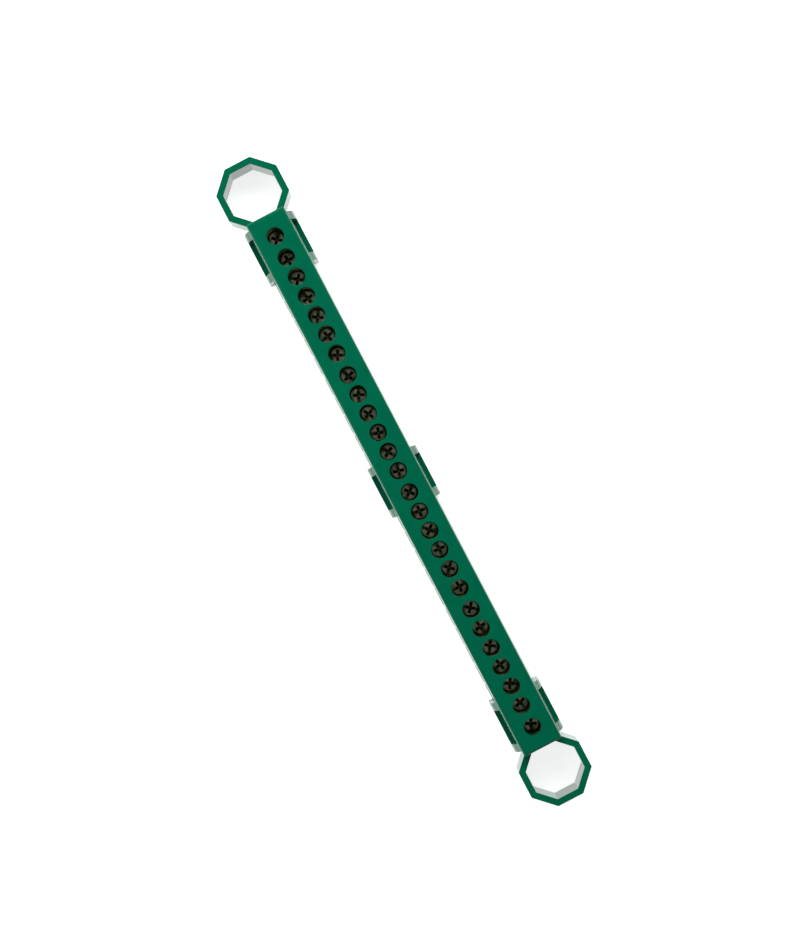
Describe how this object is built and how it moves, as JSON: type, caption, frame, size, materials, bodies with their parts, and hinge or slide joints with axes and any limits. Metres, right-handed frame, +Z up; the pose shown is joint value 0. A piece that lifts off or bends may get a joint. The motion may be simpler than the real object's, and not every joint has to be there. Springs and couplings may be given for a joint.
{
  "type": "earth terminal bar",
  "caption": "Long green moulded housing over a brass busbar, with a row of clamping screws under round wells, wire entries along one side, side lugs and an octagonal ring at each end.",
  "frame": {"origin": "middle of the base, at the bottom of the whole part's box", "axes": "+X along the row of screws, +Z up, the way the wells open; wires enter from -Y"},
  "size_m": [0.217, 0.0204, 0.017],
  "materials": {
    "housing": "moulded green polyamide, satin gloss",
    "busbar": "drawn brass bar, machined holes",
    "clamp_screw": "steel with a dark yellow-brown zinc passivation"
  },
  "bodies": {
    "bar": {"housing": "housing", "busbar": "busbar"},
    "screw_01": {"clamp_screw_01": "clamp_screw"},
    "screw_02": {"clamp_screw_02": "clamp_screw"},
    "screw_03": {"clamp_screw_03": "clamp_screw"},
    "screw_04": {"clamp_screw_04": "clamp_screw"},
    "screw_05": {"clamp_screw_05": "clamp_screw"},
    "screw_06": {"clamp_screw_06": "clamp_screw"},
    "screw_07": {"clamp_screw_07": "clamp_screw"},
    "screw_08": {"clamp_screw_08": "clamp_screw"},
    "screw_09": {"clamp_screw_09": "clamp_screw"},
    "screw_10": {"clamp_screw_10": "clamp_screw"},
    "screw_11": {"clamp_screw_11": "clamp_screw"},
    "screw_12": {"clamp_screw_12": "clamp_screw"},
    "screw_13": {"clamp_screw_13": "clamp_screw"},
    "screw_14": {"clamp_screw_14": "clamp_screw"},
    "screw_15": {"clamp_screw_15": "clamp_screw"},
    "screw_16": {"clamp_screw_16": "clamp_screw"},
    "screw_17": {"clamp_screw_17": "clamp_screw"},
    "screw_18": {"clamp_screw_18": "clamp_screw"},
    "screw_19": {"clamp_screw_19": "clamp_screw"},
    "screw_20": {"clamp_screw_20": "clamp_screw"},
    "screw_21": {"clamp_screw_21": "clamp_screw"},
    "screw_22": {"clamp_screw_22": "clamp_screw"},
    "screw_23": {"clamp_screw_23": "clamp_screw"},
    "screw_24": {"clamp_screw_24": "clamp_screw"},
    "screw_25": {"clamp_screw_25": "clamp_screw"},
    "screw_26": {"clamp_screw_26": "clamp_screw"}
  },
  "joints": [
    {"name": "screw_01_travel", "type": "slide", "parent": "bar", "child": "screw_01", "axis": [0, 0, 1], "range_m": [0, 0.005]},
    {"name": "screw_02_travel", "type": "slide", "parent": "bar", "child": "screw_02", "axis": [0, 0, 1], "range_m": [0, 0.005]},
    {"name": "screw_03_travel", "type": "slide", "parent": "bar", "child": "screw_03", "axis": [0, 0, 1], "range_m": [0, 0.005]},
    {"name": "screw_04_travel", "type": "slide", "parent": "bar", "child": "screw_04", "axis": [0, 0, 1], "range_m": [0, 0.005]},
    {"name": "screw_05_travel", "type": "slide", "parent": "bar", "child": "screw_05", "axis": [0, 0, 1], "range_m": [0, 0.005]},
    {"name": "screw_06_travel", "type": "slide", "parent": "bar", "child": "screw_06", "axis": [0, 0, 1], "range_m": [0, 0.005]},
    {"name": "screw_07_travel", "type": "slide", "parent": "bar", "child": "screw_07", "axis": [0, 0, 1], "range_m": [0, 0.005]},
    {"name": "screw_08_travel", "type": "slide", "parent": "bar", "child": "screw_08", "axis": [0, 0, 1], "range_m": [0, 0.005]},
    {"name": "screw_09_travel", "type": "slide", "parent": "bar", "child": "screw_09", "axis": [0, 0, 1], "range_m": [0, 0.005]},
    {"name": "screw_10_travel", "type": "slide", "parent": "bar", "child": "screw_10", "axis": [0, 0, 1], "range_m": [0, 0.005]},
    {"name": "screw_11_travel", "type": "slide", "parent": "bar", "child": "screw_11", "axis": [0, 0, 1], "range_m": [0, 0.005]},
    {"name": "screw_12_travel", "type": "slide", "parent": "bar", "child": "screw_12", "axis": [0, 0, 1], "range_m": [0, 0.005]},
    {"name": "screw_13_travel", "type": "slide", "parent": "bar", "child": "screw_13", "axis": [0, 0, 1], "range_m": [0, 0.005]},
    {"name": "screw_14_travel", "type": "slide", "parent": "bar", "child": "screw_14", "axis": [0, 0, 1], "range_m": [0, 0.005]},
    {"name": "screw_15_travel", "type": "slide", "parent": "bar", "child": "screw_15", "axis": [0, 0, 1], "range_m": [0, 0.005]},
    {"name": "screw_16_travel", "type": "slide", "parent": "bar", "child": "screw_16", "axis": [0, 0, 1], "range_m": [0, 0.005]},
    {"name": "screw_17_travel", "type": "slide", "parent": "bar", "child": "screw_17", "axis": [0, 0, 1], "range_m": [0, 0.005]},
    {"name": "screw_18_travel", "type": "slide", "parent": "bar", "child": "screw_18", "axis": [0, 0, 1], "range_m": [0, 0.005]},
    {"name": "screw_19_travel", "type": "slide", "parent": "bar", "child": "screw_19", "axis": [0, 0, 1], "range_m": [0, 0.005]},
    {"name": "screw_20_travel", "type": "slide", "parent": "bar", "child": "screw_20", "axis": [0, 0, 1], "range_m": [0, 0.005]},
    {"name": "screw_21_travel", "type": "slide", "parent": "bar", "child": "screw_21", "axis": [0, 0, 1], "range_m": [0, 0.005]},
    {"name": "screw_22_travel", "type": "slide", "parent": "bar", "child": "screw_22", "axis": [0, 0, 1], "range_m": [0, 0.005]},
    {"name": "screw_23_travel", "type": "slide", "parent": "bar", "child": "screw_23", "axis": [0, 0, 1], "range_m": [0, 0.005]},
    {"name": "screw_24_travel", "type": "slide", "parent": "bar", "child": "screw_24", "axis": [0, 0, 1], "range_m": [0, 0.005]},
    {"name": "screw_25_travel", "type": "slide", "parent": "bar", "child": "screw_25", "axis": [0, 0, 1], "range_m": [0, 0.005]},
    {"name": "screw_26_travel", "type": "slide", "parent": "bar", "child": "screw_26", "axis": [0, 0, 1], "range_m": [0, 0.005]}
  ]
}
